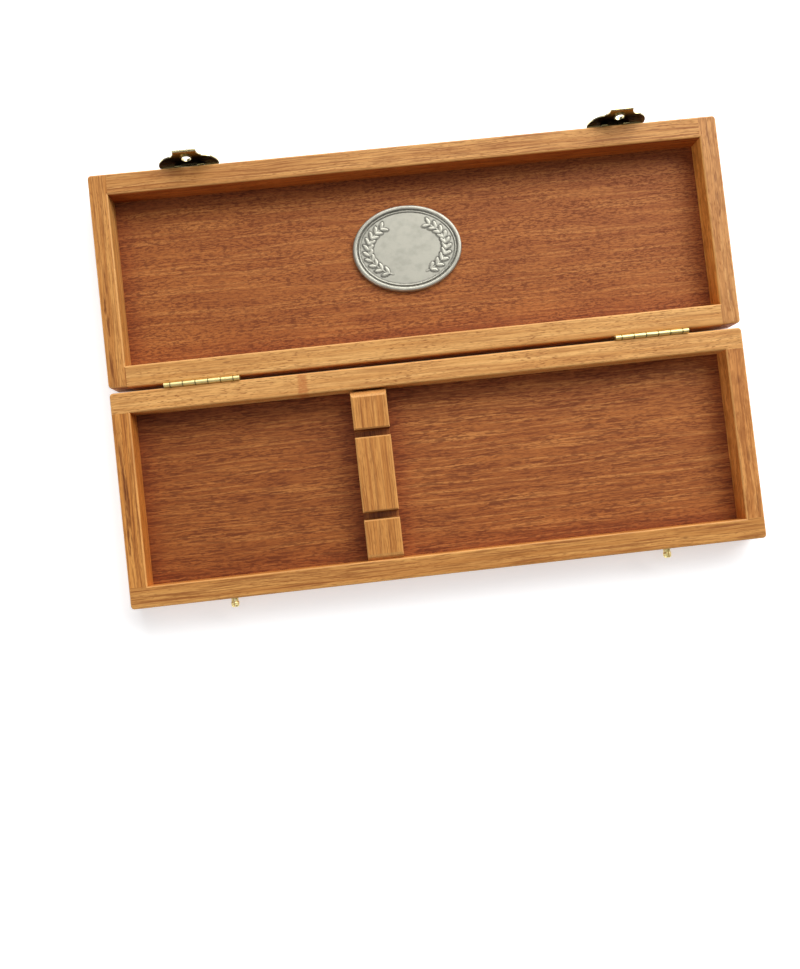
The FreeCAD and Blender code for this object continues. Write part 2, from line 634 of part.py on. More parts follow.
def hasp(label, sign):
    body = doc.addObject("PartDesign::Body", label + "_rolled")
    section = newSketch(body, label + "_section", "YZ_Plane")
    b = "(catch_barrel / 2)"
    inner = "(catch_barrel / 2 - catch_sheet)"
    joint = "sqrt(%s^2 - %s^2)" % (b, inner)
    bendZ = "hasp_length - lip_length"
    corners = [
        (b, "0"), (b, bendZ), ("%s + lip_rise" % b, "hasp_length"), ("%s + lip_rise" % inner, "hasp_length"),
        (inner, bendZ), (inner, joint), ("0", b), ("-" + b, "0"), ("0", "-" + b),
    ]
    turn = math.sqrt(0.5)
    angle = math.atan2(value(inner), value(joint))
    outline(section, corners, {1: -1.2, 3: 1.2, 5: 0.5 / math.sin(angle / 2), 6: turn, 7: turn, 8: turn})
    circle(section, "0", "0", "catch_pin / 2 + pin_clearance")
    pad(body, label + "_strip", section, "2 * " + lobeStart, both=True)
    lobes = []
    for name, x in (("a", lobeStart), ("b", "-catch_width / 2")):
        lobes.append(box("%s_lobe_%s" % (label, name), x, inner, "-lobe_drop", "catch_width / 2 - " + lobeStart,
                         "catch_sheet", "%s + lobe_drop" % bendZ))
    trim = doc.addObject("PartDesign::Body", label + "_trim")
    shape = newSketch(trim, label + "_outline", "XZ_Plane")
    half = [
        ("catch_middle / 2", "-catch_barrel"), ("catch_middle / 2", foot), (lobeStart, foot),
        (lobeStart, "-lobe_drop"), ("lobe_foot / 2", "-lobe_drop"), ("catch_width / 2", "lobe_level"),
        ("shoulder_width / 2", "hasp_shoulder"), ("hasp_tip / 2", "hasp_length + 1"),
    ]
    corners, bends = mirrored(half, {4: 0.8, 5: 0.82, 6: -0.9})
    outline(shape, corners, bends)
    pad(trim, label + "_prism", shape, "8 * catch_barrel", both=True)
    blank = common(label + "_sheet", fuse(label + "_flat", [body] + lobes), trim)
    collar = rod(label + "_collar", "stud_head / 2 + stud_hole_gap + flange_wall", "flange_height + catch_sheet",
                 "0", inner + " - flange_height", "hasp_reach", alongY)
    hole = rod(label + "_hole", "stud_head / 2 + stud_hole_gap", "4 * catch_barrel",
               "0", "-2 * catch_barrel", "hasp_reach", alongY)
    made = cut(label, fuse(label + "_blank", [blank, collar]), [hole])
    made.Placement = Placement(Vector(0, 0, 0), Rotation(Vector(-1, 0, 0), 1))
    bind(made, "Placement.Rotation.Angle", "hasp_lean")
    put(made, sign + catch_x, "%s + %s" % (lid_far, catch_offset), catch_z)
    return made


for hand, sign in (("left", "-"), ("right", "")):
    nodes.append(catchPlate("catch_%s_plate" % hand, sign))
    nodes.append(hasp("catch_%s_hasp" % hand, sign))
    span = "(catch_middle + 2 * knuckle_gap + 2 * catch_side)"
    nodes.append(rod("catch_%s_pin" % hand, "catch_pin / 2", span, "%s%s - %s / 2" % (sign, catch_x, span),
                     "%s + %s" % (lid_far, catch_offset), catch_z, alongX))
nails = []
for number, x in enumerate(nailSpots):
    z = catch_z + " - nail_row"
    label = "nail_%d" % number
    seat = lid_far + " + catch_sheet"
    head = cone(label + "_head", "nail_head / 2", "nail_head / 3", "nail_rise", x, seat, z, alongY)
    shank = rod(label + "_shank", "nail_shank / 2", "nail_length + catch_sheet - nail_shank", x, seat, z, againstY)
    tip = cone(label + "_tip", "nail_shank / 2", "nail_shank / 8", "nail_shank", x,
               seat + " - (nail_length + catch_sheet - nail_shank)", z, againstY)
    nails.append(fuse(label, [head, shank, tip]))
nodes.append(group("catch_plate_nails", nails))

doc.recompute()
faults = [thing.Name for thing in doc.Objects if set(thing.State) & {"Invalid", "Error"}]
for node in nodes:
    if node.Shape.isNull() or not node.Shape.isValid() or not node.Shape.Solids:
        faults.append(node.Label)
if faults:
    raise RuntimeError("failed: " + ", ".join(faults))
os.makedirs("parts", exist_ok=True)
for node in nodes:
    solids = node.Shape.Solids
    shape = solids[0] if len(solids) == 1 else Part.makeCompound(solids)
    shape.exportStep(os.path.join("parts", node.Label + ".step"))
    print("%-24s %2d solid(s) %10.2f mm3" % (node.Label, len(solids), shape.Volume))
print(len(nodes), "nodes")
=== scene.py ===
import math

import bpy
import bmesh
import numpy as np
from mathutils import Matrix, Vector


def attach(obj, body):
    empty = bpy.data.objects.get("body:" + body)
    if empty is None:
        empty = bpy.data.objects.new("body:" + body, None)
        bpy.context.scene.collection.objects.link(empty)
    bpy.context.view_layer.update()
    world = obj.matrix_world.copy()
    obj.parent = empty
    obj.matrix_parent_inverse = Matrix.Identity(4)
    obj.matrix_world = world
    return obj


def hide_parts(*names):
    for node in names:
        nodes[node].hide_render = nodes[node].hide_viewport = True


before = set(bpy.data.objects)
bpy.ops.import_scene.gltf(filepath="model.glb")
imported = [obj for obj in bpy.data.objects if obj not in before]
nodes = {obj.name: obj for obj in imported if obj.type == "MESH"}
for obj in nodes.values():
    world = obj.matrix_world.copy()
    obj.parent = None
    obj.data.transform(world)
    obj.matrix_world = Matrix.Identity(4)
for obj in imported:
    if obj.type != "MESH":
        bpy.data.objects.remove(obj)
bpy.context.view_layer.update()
scene = bpy.context.scene
scene.view_settings.view_transform = "Standard"
perMetre = 1000  # millimetres
print("frame loaded:", len(nodes), "nodes")

# camera, as the photograph was taken: nearly overhead, turned a little
shot = {
    "spot": (-0.036799, -0.019774, 0.451613),
    "right": (0.993375, -0.110469, 0.031681),
    "down": (-0.109409, -0.993434, -0.033444),
    "forward": (0.035168, 0.029757, -0.998938),
    "lens": 32.4657,
    "sensor": 36.0,
    "nearest": 0.01,
}


def makeCamera(spec):
    data = bpy.data.cameras.new("shot")
    data.lens = spec["lens"]
    data.sensor_width = spec["sensor"]
    data.clip_start = spec["nearest"]
    eye = bpy.data.objects.new("shot", data)
    scene.collection.objects.link(eye)
    up = [-v for v in spec["down"]]
    back = [-v for v in spec["forward"]]
    turn = Matrix((spec["right"], up, back)).transposed()
    eye.matrix_world = Matrix.Translation(spec["spot"]) @ turn.to_4x4()
    scene.camera = eye


makeCamera(shot)
print("camera set")


def nodeMaker(tree, family="ShaderNode"):
    # inputs are given by name, with _ for a space, or as i0, i1 by place
    def add(kind, props=None, **inputs):
        node = tree.nodes.new(family + kind)
        for key, value in (props or {}).items():
            setattr(node, key, value)
        for key, value in inputs.items():
            place = key[1:]
            socket = node.inputs[int(place)] if place.isdigit() else node.inputs[key.replace("_", " ")]
            if isinstance(value, bpy.types.NodeSocket):
                tree.links.new(value, socket)
            else:
                socket.default_value = value
        return node
    return add


def newMaterial(name):
    material = bpy.data.materials.new(name)
    material.use_nodes = True
    material.node_tree.nodes.clear()
    return material, nodeMaker(material.node_tree)


def mixColour(add, factor, one, other, how="MIX"):
    node = add("Mix", {"data_type": "RGBA", "blend_type": how, "clamp_result": True}, i0=factor)
    for place, value in ((6, one), (7, other)):  # the colour sockets of a Mix node
        if isinstance(value, bpy.types.NodeSocket):
            node.id_data.links.new(value, node.inputs[place])
        else:
            node.inputs[place].default_value = (*value, 1.0)
    return node.outputs[2]


def math2(add, how, one, other=0.5):
    return add("Math", {"operation": how}, i0=one, i1=other).outputs[0]


def away(add, value, middle):
    return math2(add, "ABSOLUTE", math2(add, "SUBTRACT", value, middle))


def fade(add, value, low, high, start=0.0, end=1.0):
    ramp = add("MapRange", {"interpolation_type": "SMOOTHSTEP"}, Value=value, From_Min=low, From_Max=high,
               To_Min=start, To_Max=end)
    return ramp.outputs[0]


def axes(add, kind):
    # x, y and z of the point ("Object") or of the face's direction ("Normal")
    return add("SeparateXYZ", Vector=add("TexCoord").outputs[kind]).outputs


def streaky(add, place, spec):
    # noise drawn out along the grain; size is (along, across) in millimetres
    along, across = spec["size"]
    scale = (1 / along, 1 / across, 1 / across)
    stretched = add("Mapping", Vector=place, Location=spec.get("shift", (0, 0, 0)), Scale=scale).outputs[0]
    noise = add("TexNoise", Vector=stretched, Scale=1.0, Detail=spec.get("detail", 2.0),
                Roughness=spec.get("rough", 0.5))
    return noise.outputs["Fac"]


def layer(add, place, spec, most=1.0):
    # streaks faded in between the two edges, from least to most
    return fade(add, streaky(add, place, spec), *spec["edge"], spec.get("least", 0.0), spec.get("most", most))


wander = {"size": (45.0, 9.0), "detail": 1.0}


def grainPlace(add, grain, shift, wave=0.0):
    # millimetres along the grain, across it and down, with a slow wander
    where = add("TexCoord").outputs["Object"]
    turn = (0, 0, 0) if grain == "x" else (0, 0, math.radians(-90))
    place = add("Mapping", Vector=where, Location=shift, Rotation=turn, Scale=[perMetre] * 3).outputs[0]
    if not wave:
        return place
    bend = math2(add, "MULTIPLY", math2(add, "SUBTRACT", streaky(add, place, wander), 0.5), wave)
    side = add("CombineXYZ", Y=bend).outputs[0]
    return add("VectorMath", {"operation": "ADD"}, i0=place, i1=side).outputs[0]


def surface(add, colour, roughness, relief=None, **fixed):
    # relief is the height, the bump's strength and its depth in metres
    shader = add("BsdfPrincipled", Base_Color=colour, Roughness=roughness, **fixed)
    links = shader.id_data.links
    if relief:
        height, strength, depth = relief
        rise = add("Bump", Strength=strength, Distance=depth, Height=height)
        links.new(rise.outputs[0], shader.inputs["Normal"])
    links.new(shader.outputs[0], add("OutputMaterial").inputs[0])


# frame boards: golden hardwood, grain along each board
boardWood = {
    "pale": (0.80, 0.438, 0.147),
    "warm": (0.61, 0.282, 0.077),
    "deepen": (0.62, 0.54, 0.46),
    "dark": (0.27, 0.079, 0.014),
    "streak": (0.165, 0.040, 0.006),
    # notchShade: painted shade in the rest bar's notches
    "end": (0.45, 0.195, 0.056),
    "notchShade": (0.62, 0.44, 0.34),
    # wall: painted shade, a warmer tint on upright faces, as walls look in shade
    "wall": (1.14, 1.01, 0.84),
    # rubbedSheen: pale eased edges, partly wear, partly a painted highlight
    "rubbedSheen": (1.0, 0.5475, 0.18375),
    "figure": 0.2,
    "thread": (0.45, 0.5),
    "roughness": (0.5, 0.75),
    "specular": 0.28,
    "bump": (0.25, 0.0002),
}
boardGrain = {
    "band": {"size": (130.0, 2.6), "detail": 3.0, "edge": (0.32, 0.68)},
    "swirl": {"size": (8.0, 2.6), "rough": 0.6, "shift": (4, 7, 2), "edge": (0.46, 0.62)},
    "fibre": {"size": (16.0, 0.6), "detail": 3.0, "rough": 0.65, "shift": (5, 2, 3), "edge": (0.47, 0.66)},
    "line": {"size": (46.0, 0.95), "rough": 0.55, "shift": (7, 3, 1), "edge": (0.51, 0.67)},
    "clump": {"size": (24.0, 5.0), "detail": 1.0, "shift": (2, 9, 4), "edge": (0.32, 0.60), "least": 0.25},
    "dash": {"size": (3.4, 0.5), "detail": 1.0, "shift": (1, 5, 8), "edge": (0.53, 0.68)},
    "dots": {"size": (0.5, 0.5), "edge": (0.5, 0.68)},
    "torn": {"size": (1.5, 0.9), "shift": (6, 3, 9), "edge": (0.3, 0.6), "least": 0.5},
    "mark": {"size": (5.0, 0.45), "rough": 0.6, "edge": (1.05, 0.15), "ragged": 2.4},
}
# how far a face is turned: between these values of its direction the tint fades in
boardTurn = {
    "wall": (0.5, 0.2),
    "inner": (0.5, 0.8),
    "edgeLow": (0.25, 0.5),
    "edgeHigh": (0.985, 0.93),
    "edgeMost": 0.35,
    "end": (0.6, 0.9),
    "flank": (0.7, 0.4),
}
# marks are (along, across, half length, half width, depth) in millimetres; inner is the axis and
# direction that the board's inside wall faces, and that wall's tint: painted light and shade, some walls
# lighter, some darker
boards = {
    "base_back_rail": {
        "grain": "x", "shift": (3, 11, 0), "tone": (1.04, 1.03, 1.0),
        "pores": 0.75, "lines": 0.30, "wave": 1.2,
        "inner": (1, -1.0, (1.1, 1.22, 1.34)),
        "marks": [(-64.3, 50.0, 1.2, 1.6, 0.35)],
        "band": {"at": -0.0643, "half": 0.0023, "soft": (1.35, 0.6), "depth": 0.8,
                 "colour": (0.50, 0.165, 0.040)},
    },
    "base_front_rail": {
        "grain": "x", "shift": (71, 23, 0), "tone": (0.86, 0.76, 0.61),
        "pores": 0.55, "lines": 0.80, "wave": 1.6,
        "marks": [(118.5, -49.5, 2.6, 0.9, 0.6), (30, -47.2, 24, 0.5, 0.5), (-90, -46.0, 30, 0.45, 0.45)],
    },
    "base_left_end": {
        "grain": "y", "shift": (15, 47, 0), "tone": (0.93, 0.76, 0.53),
        "pores": 0.5, "lines": 0.75, "wave": 1.6,
        "marks": [(6, 156.7, 17, 0.85, 0.95), (-19, 157.2, 15, 0.7, 0.85), (14, 153.0, 24, 0.5, 0.5),
                  (-22, 154.4, 17, 0.5, 0.6), (-2, 155.6, 26, 0.75, 0.9), (22, 157.4, 12, 0.6, 0.8)],
    },
    "base_right_end": {
        "grain": "y", "shift": (9, 88, 0), "tone": (0.90, 0.75, 0.63),
        "pores": 0.6, "lines": 0.45, "wave": 5.0,
        "figure": 0.75,
        "inner": (0, -1.0, (1.16, 1.27, 1.32)),
        "marks": [(27, -155.0, 4.0, 1.1, 0.55), (-11, -155.6, 5.0, 1.0, 0.6), (-35, -157.2, 6.5, 0.8, 0.65),
                  (44, -154.5, 3.0, 1.4, 0.5)],
    },
    "lid_back_rail": {
        "grain": "x", "shift": (37, 131, 0), "tone": (1.03, 1.03, 1.0),
        "pores": 0.75, "lines": 0.30, "wave": 1.4,
        "marks": [(-104, 65.0, 4, 0.5, 0.6), (-100.5, 63.4, 2.5, 0.4, 0.6)],
    },
    "lid_front_rail": {
        "grain": "x", "shift": (55, 163, 0), "tone": (0.88, 0.82, 0.75),
        "pores": 0.6, "lines": 0.72, "wave": 2.6,
        "inner": (1, -1.0, (0.71, 0.46, 0.31)),
        "marks": [(-118, 159.4, 16, 0.45, 0.55), (22, 157.0, 20, 0.45, 0.45), (128, 159.0, 5, 0.6, 0.55)],
    },
    "lid_left_end": {
        "grain": "y", "shift": (21, 207, 0), "tone": (0.91, 0.80, 0.65),
        "pores": 0.5, "lines": 0.65, "wave": 1.8,
        "inner": (0, 1.0, (0.98, 1.22, 1.55)),
        "marks": [(111, 156.3, 10, 0.7, 0.75), (98, 157.6, 6, 0.85, 0.9), (88, 156.9, 9, 0.7, 0.8),
                  (66, 156.9, 12, 0.8, 0.75), (138, 154.6, 22, 0.4, 0.45)],
    },
    "lid_right_end": {
        "grain": "y", "shift": (64, 239, 0), "tone": (0.92, 0.86, 0.87),
        "pores": 0.55, "lines": 0.40, "wave": 5.0,
        "figure": 0.75,
        "inner": (0, -1.0, (1.28, 1.32, 1.06)),
        "marks": [(153, -155.0, 8, 0.9, 0.55), (131, -155.5, 4, 0.9, 0.55), (121, -155.5, 4, 1.0, 0.55),
                  (113, -156.0, 3, 0.9, 0.45), (70, -156.5, 6, 1.0, 0.55)],
    },
    "rest_bar": {
        "grain": "y", "shift": (29, 277, 0), "tone": (0.88, 0.74, 0.54),
        "pores": 0.4, "lines": 0.50, "wave": 1.2,
        "cut": (0.0153, 0.0113),
        "marks": [(0, 33.6, 46, 0.8, 0.40), (-34, 29.5, 10, 0.6, 0.40), (30, 36.6, 12, 0.6, 0.30)],
    },
}


def nearMark(add, place, shift, mark):
    # one streak or knot, with a ragged edge
    along, across, halfLength, halfWidth, depth = mark
    edge = boardGrain["mark"]
    offset = (-(along + shift[0]) / halfLength, -(across + shift[1]) / halfWidth, 0)
    local = add("Mapping", Vector=place, Location=offset, Scale=(1 / halfLength, 1 / halfWidth, 0)).outputs[0]
    far = add("VectorMath", {"operation": "LENGTH"}, i0=local).outputs["Value"]
    rough = math2(add, "SUBTRACT", streaky(add, place, {**edge, "shift": (3, along, 1)}), 0.5)
    far = math2(add, "ADD", far, math2(add, "MULTIPLY", rough, edge["ragged"]))
    return fade(add, far, *edge["edge"], 0.0, depth)


def boardColour(add, place, spec):
    # the wood itself: bands, figure, fibres, dark lines, pores and marks; fibres and pores also shape it
    look, grain = boardWood, boardGrain
    pale, warm = [tuple(v * t for v, t in zip(look[key], spec["tone"])) for key in ("pale", "warm")]
    deep = tuple(v * t for v, t in zip(warm, look["deepen"]))
    figured = tuple((v + d) / 2 for v, d in zip(warm, deep))
    colour = mixColour(add, layer(add, place, grain["band"]), pale, warm)
    swirl = layer(add, place, grain["swirl"], spec.get("figure", look["figure"]))
    colour = mixColour(add, swirl, colour, figured)
    least, gain = look["thread"]
    fibre = layer(add, place, grain["fibre"], least + gain * spec["lines"])
    colour = mixColour(add, fibre, colour, deep)
    colour = mixColour(add, layer(add, place, grain["line"], spec["lines"]), colour, look["dark"])
    clump = math2(add, "MULTIPLY", layer(add, place, grain["clump"]), spec["pores"])
    pore = math2(add, "MULTIPLY", layer(add, place, grain["dash"]), clump)
    colour = mixColour(add, pore, colour, look["dark"])
    for mark in spec["marks"]:
        colour = mixColour(add, nearMark(add, place, spec["shift"], mark), colour, look["streak"])
    return colour, fibre, pore


def boardMaterial(name, spec):
    look, grain, turn = boardWood, boardGrain, boardTurn
    material, add = newMaterial(name + "_wood")
    place = grainPlace(add, spec["grain"], spec["shift"], wave=spec["wave"])
    facing = axes(add, "Normal")
    colour, fibre, pore = boardColour(add, place, spec)
    if "band" in spec:
        band = spec["band"]
        edges = [band["half"] * v for v in band["soft"]]
        tint = fade(add, away(add, axes(add, "Object")[0], band["at"]), *edges, 0.0, band["depth"])
        tint = math2(add, "MULTIPLY", tint, layer(add, place, grain["torn"]))
        colour = mixColour(add, tint, colour, band["colour"])
    # painted shade: upright faces get the warmer tint that walls show in shade
    wall = fade(add, math2(add, "ABSOLUTE", facing[2]), *turn["wall"])
    colour = mixColour(add, wall, colour, look["wall"], "MULTIPLY")
    # painted light and shade: the inside wall is tinted, some lighter, some darker, as the light falls on
    # them
    if "inner" in spec:
        axis, hand, tint = spec["inner"]
        inner = fade(add, math2(add, "MULTIPLY", facing[axis], hand), *turn["inner"])
        colour = mixColour(add, inner, colour, tint, "MULTIPLY")
    # pale eased top edges: partly wear, partly a painted highlight where the rounded edges catch the light
    upper = fade(add, facing[2], *turn["edgeHigh"], 0.0, turn["edgeMost"])
    edgeWearAndHighlight = math2(add, "MULTIPLY", fade(add, facing[2], *turn["edgeLow"]), upper)
    colour = mixColour(add, edgeWearAndHighlight, colour, look["rubbedSheen"])
    cross = math2(add, "ABSOLUTE", facing[0 if spec["grain"] == "x" else 1])
    endTone = mixColour(add, layer(add, place, grain["dots"]), look["end"], look["dark"])
    colour = mixColour(add, fade(add, cross, *turn["end"]), colour, endTone)
    # painted shade: low down in the bar, on faces not turned to the sides, mostly in the notches, the wood is
    # darkened
    if "cut" in spec:
        flank = fade(add, math2(add, "ABSOLUTE", facing[0]), *turn["flank"])
        notchShade = math2(add, "MULTIPLY", flank, fade(add, axes(add, "Object")[2], *spec["cut"]))
        colour = mixColour(add, notchShade, colour, look["notchShade"], "MULTIPLY")
    rough = fade(add, pore, 0.0, 1.0, *look["roughness"])
    sunk = math2(add, "MAXIMUM", pore, math2(add, "MULTIPLY", fibre, 0.5))
    relief = (math2(add, "SUBTRACT", 1.0, sunk), *look["bump"])
    surface(add, colour, rough, relief, Specular_IOR_Level=look["specular"])
    return material


# panels: mahogany veneer on plywood, with the plies showing round the edge
veneer = {
    "light": (0.430, 0.139, 0.031),
    "deep": (0.290, 0.076, 0.016),
    "fleck": (0.125, 0.025, 0.008),
    "ribbon": (0.57, 0.222, 0.057),
    # edge: the colour of the painted shade along the walls
    "edge": (0.72, 0.60, 0.58),
    "core": (0.50, 0.24, 0.09),
    "ply": (0.0005, 0.00065),
    "roughness": (0.55, 0.75),
    "specular": 0.22,
    "bump": (0.2, 0.0002),
}
veneerGrain = {
    "blotch": {"size": (45.0, 8.0), "edge": (0.30, 0.70), "most": 0.55},
    "ribbon": {"size": (60.0, 1.1), "detail": 2.5, "rough": 0.6, "shift": (3, 8, 5), "edge": (0.50, 0.64)},
    "shade": {"size": (40.0, 1.2), "detail": 2.5, "rough": 0.6, "shift": (8, 2, 9), "edge": (0.50, 0.66),
              "most": 0.7},
    "thick": {"size": (22.0, 5.0), "shift": (6, 1, 2), "edge": (0.30, 0.60), "least": 0.6},
    "fleck": {"rough": 0.6, "shift": (9, 4, 7), "edge": (0.49, 0.61), "most": 0.72},
    "fine": {"detail": 1.0, "shift": (4, 2, 5), "edge": (0.50, 0.62), "most": 0.60},
    "stripe": {"size": (260.0, 7.0), "detail": 3.0, "rough": 0.6, "shift": (2, 6, 3), "edge": (0.42, 0.62),
               "most": 0.75},
    "core": {"size": (9.0, 0.35), "edge": (0.4, 0.7)},
}
veneerTurn = {"floor": (0.3, 0.7), "outside": (-0.3, -0.7), "side": (0.9, 0.8)}
# painted shade: the veneer is darkened and reddened along the walls: rails at railHalf from the middle, other
# walls in pairs
wallShadeReach = {"railHalf": 0.0432, "railReach": 0.011, "wallReach": 0.013}
# flecks in millimetres; walls are pairs of (middle, half distance) along x, in metres
panels = {
    "base_panel": {"shift": (0, 0, 0), "fleck": (7.0, 0.75), "fine": (3.4, 0.5), "ribbons": 0.8,
                   "wave": 2.2, "middle": 0.0, "walls": [(0.0, 0.1508), (-0.0323, 0.0094)],
                   "leftShade": {"between": (-0.0245, -0.0400), "tint": (0.87, 0.83, 0.77)}},
    "lid_panel": {"shift": (57, 211, 13), "fleck": (3.8, 0.85), "fine": (2.2, 0.55), "ribbons": 0.6,
                  "wave": 3.5, "middle": 0.1099, "walls": [(0.0, 0.1508)]},
}


def wallShadeMask(add, spot, spec):
    near = away(add, spot[1], spec["middle"])
    paintedShade = fade(add, near, wallShadeReach["railHalf"] - wallShadeReach["railReach"], wallShadeReach["railHalf"])
    for middle, half in spec["walls"]:
        far = away(add, away(add, spot[0], middle), half)
        paintedShade = math2(add, "MAXIMUM", paintedShade, fade(add, far, wallShadeReach["wallReach"], 0.0))
    return paintedShade


def panelMaterial(name, spec):
    look, grain, turn = veneer, veneerGrain, veneerTurn
    material, add = newMaterial(name + "_veneer")
    place = grainPlace(add, "x", spec["shift"], wave=spec["wave"])
    spot = axes(add, "Object")
    facing = axes(add, "Normal")
    colour = mixColour(add, layer(add, place, grain["blotch"]), look["light"], look["deep"])
    colour = mixColour(add, layer(add, place, grain["ribbon"], spec["ribbons"]), colour, look["ribbon"])
    colour = mixColour(add, layer(add, place, grain["shade"]), colour, look["deep"])
    fleck, fine = [layer(add, place, {**grain[key], "size": spec[key]}) for key in ("fleck", "fine")]
    fleck = math2(add, "MULTIPLY", math2(add, "MAXIMUM", fleck, fine), layer(add, place, grain["thick"]))
    colour = mixColour(add, fleck, colour, look["fleck"])
    floor = fade(add, facing[2], *turn["floor"])
    # painted shade along the walls and beside the bar, on the floor faces only
    paintedShade = math2(add, "MULTIPLY", wallShadeMask(add, spot, spec), floor)
    colour = mixColour(add, paintedShade, colour, look["edge"], "MULTIPLY")
    # painted shade: the floor of the base's left compartment is tinted darker, as if less light reached it
    if "leftShade" in spec:
        leftShade = math2(add, "MULTIPLY", fade(add, spot[0], *spec["leftShade"]["between"]), floor)
        colour = mixColour(add, leftShade, colour, spec["leftShade"]["tint"], "MULTIPLY")
    outside = fade(add, facing[2], *turn["outside"])
    stripe = math2(add, "MULTIPLY", layer(add, place, grain["stripe"]), outside)
    colour = mixColour(add, stripe, colour, look["deep"])
    side = fade(add, math2(add, "ABSOLUTE", facing[2]), *turn["side"])
    plies = math2(add, "MULTIPLY", side, fade(add, spot[2], *look["ply"]))
    core = mixColour(add, layer(add, place, grain["core"]), look["core"], look["light"])
    colour = mixColour(add, plies, colour, core)
    rough = fade(add, fleck, 0.0, 1.0, *look["roughness"])
    relief = (math2(add, "SUBTRACT", 1.0, fleck), *look["bump"])
    surface(add, colour, rough, relief, Specular_IOR_Level=look["specular"])
    return material


# plated brass, sizes in metres: seams are dark lines painted between the hinge knuckles as painted shade of
# their thin gaps, and painted shade darkens the rolled top of the hasp plates
brass = {
    "colour": (0.94, 0.80, 0.375),
    "tarnish": (0.70, 0.55, 0.22),
    "cloud": {"size": (2.2, 1.4), "detail": 4.0, "rough": 0.6, "edge": (0.40, 0.80), "most": 0.45},
    "roughness": (0.40, 0.58),
    "bump": (0.06, 0.00005),
    "seam": {"colour": (0.10, 0.08, 0.03), "hingeMiddle": 0.11385, "knuckle": 0.00625, "width": (0.065, 0.03),
             "depth": 0.7, "barrel": (0.0142, 0.0150)},
    "grime": {"colour": (0.060, 0.042, 0.018), "height": (0.0092, 0.0104), "outward": (0.75, 0.35)},
}
# hasps: the face that lies against the case is painted nearly black, painted shade and dark reflection,
# darkest low down
haspBrass = {
    "colour": (0.86, 0.77, 0.44),
    "tarnish": (0.42, 0.30, 0.10),
    "cloud": {"size": (4.0, 3.0), "detail": 4.0, "rough": 0.6, "edge": (0.35, 0.85), "most": 0.45},
    "roughness": (0.15, 0.32),
    "bump": (0.05, 0.00005),
    "inner": {"colour": (0.024, 0.016, 0.007), "inward": (-0.75, -0.93), "height": (0.0252, 0.0195)},
}
pewter = {
    "colour": (0.478, 0.463, 0.39),
    "patina": (0.045, 0.042, 0.036),
    "cloud": {"size": (5.0, 4.0), "detail": 3.0, "edge": (0.40, 0.75), "most": 0.16},
    "worn": {"size": (0.9, 0.9), "edge": (0.3, 0.7), "least": 0.55},
    "grit": {"size": (0.4, 0.4)},
    "roughness": (0.41, 0.56),
    "bump": (0.08, 0.00005),
    "metal": 0.9,
}
rubbedSheen = {"size": (6.0, 0.12)}
roughEdge = (0.3, 0.7)


def knuckleSeams(add, colour, spec):
    seam = spec["seam"]
    spot = axes(add, "Object")
    along = math2(add, "SUBTRACT", math2(add, "ABSOLUTE", spot[0]), seam["hingeMiddle"])
    turn = math2(add, "FRACT", math2(add, "DIVIDE", along, seam["knuckle"]))
    # painted shade: dark lines where the thin gaps between the knuckles fall in shade
    gap = fade(add, away(add, turn, 0.5), *seam["width"], 0.0, seam["depth"])
    gap = math2(add, "MULTIPLY", gap, fade(add, spot[2], *seam["barrel"]))
    return mixColour(add, gap, colour, seam["colour"])


def plateTopShade(add, colour, spec):
    # painted shade: the rolled tops of the plates are darkened on faces not turned outward
    grime = spec["grime"]
    high = fade(add, axes(add, "Object")[2], *grime["height"])
    hidden = fade(add, axes(add, "Normal")[1], *grime["outward"])
    return mixColour(add, math2(add, "MULTIPLY", high, hidden), colour, grime["colour"])


def paintedDarkInside(add, colour, spec):
    inner = spec["inner"]
    # painted shade and dark reflection on the inward faces, darker towards the bottom
    low = fade(add, axes(add, "Object")[2], *inner["height"])
    paintedShade = mixColour(add, low, spec["tarnish"], inner["colour"])
    return mixColour(add, fade(add, axes(add, "Normal")[1], *inner["inward"]), colour, paintedShade)


def brassMaterial(name, spec, soil=None):
    material, add = newMaterial(name)
    place = grainPlace(add, "x", (0, 0, 0))
    colour = mixColour(add, layer(add, place, spec["cloud"]), spec["colour"], spec["tarnish"])
    if soil:
        colour = soil(add, colour, spec)
    rub = streaky(add, place, rubbedSheen)
    rough = fade(add, rub, *roughEdge, *spec["roughness"])
    surface(add, colour, rough, (rub, *spec["bump"]), Metallic=1.0)
    return material


def pewterMaterial(name, spec):
    # the patina attribute marks the sunk lines and the feet of the raised leaves
    material, add = newMaterial(name)
    place = grainPlace(add, "x", (0, 0, 0))
    sunk = add("Attribute", {"attribute_name": "patina"}).outputs["Fac"]
    sunk = math2(add, "MULTIPLY", sunk, layer(add, place, spec["worn"]))
    dark = math2(add, "MAXIMUM", sunk, layer(add, place, spec["cloud"]))
    colour = mixColour(add, dark, spec["colour"], spec["patina"])
    grit = streaky(add, place, spec["grit"])
    rough = fade(add, grit, *roughEdge, *spec["roughness"])
    surface(add, colour, rough, (grit, *spec["bump"]), Metallic=spec["metal"])
    return material


def dress(name, material):
    mesh = nodes[name].data
    mesh.materials.clear()
    mesh.materials.append(material)


for name, spec in boards.items():
    dress(name, boardMaterial(name, spec))
for name, spec in panels.items():
    dress(name, panelMaterial(name, spec))
plated = brassMaterial("plated_brass", brass)
seamed = brassMaterial("hinge_brass", brass, knuckleSeams)
rolled = brassMaterial("plate_brass", brass, plateTopShade)
darkHasp = brassMaterial("hasp_brass", haspBrass, paintedDarkInside)
cast = pewterMaterial("cast_pewter", pewter)
for name in nodes:
    if name.startswith("hinge"):
        dress(name, seamed)
    elif name.endswith("hasp"):
        dress(name, darkHasp)
    elif name.startswith("catch"):
        dress(name, rolled)
    elif name.startswith("stud") or name.endswith("screws"):
        dress(name, plated)
dress("lid_badge", cast)
print("materials on", len(nodes), "nodes")

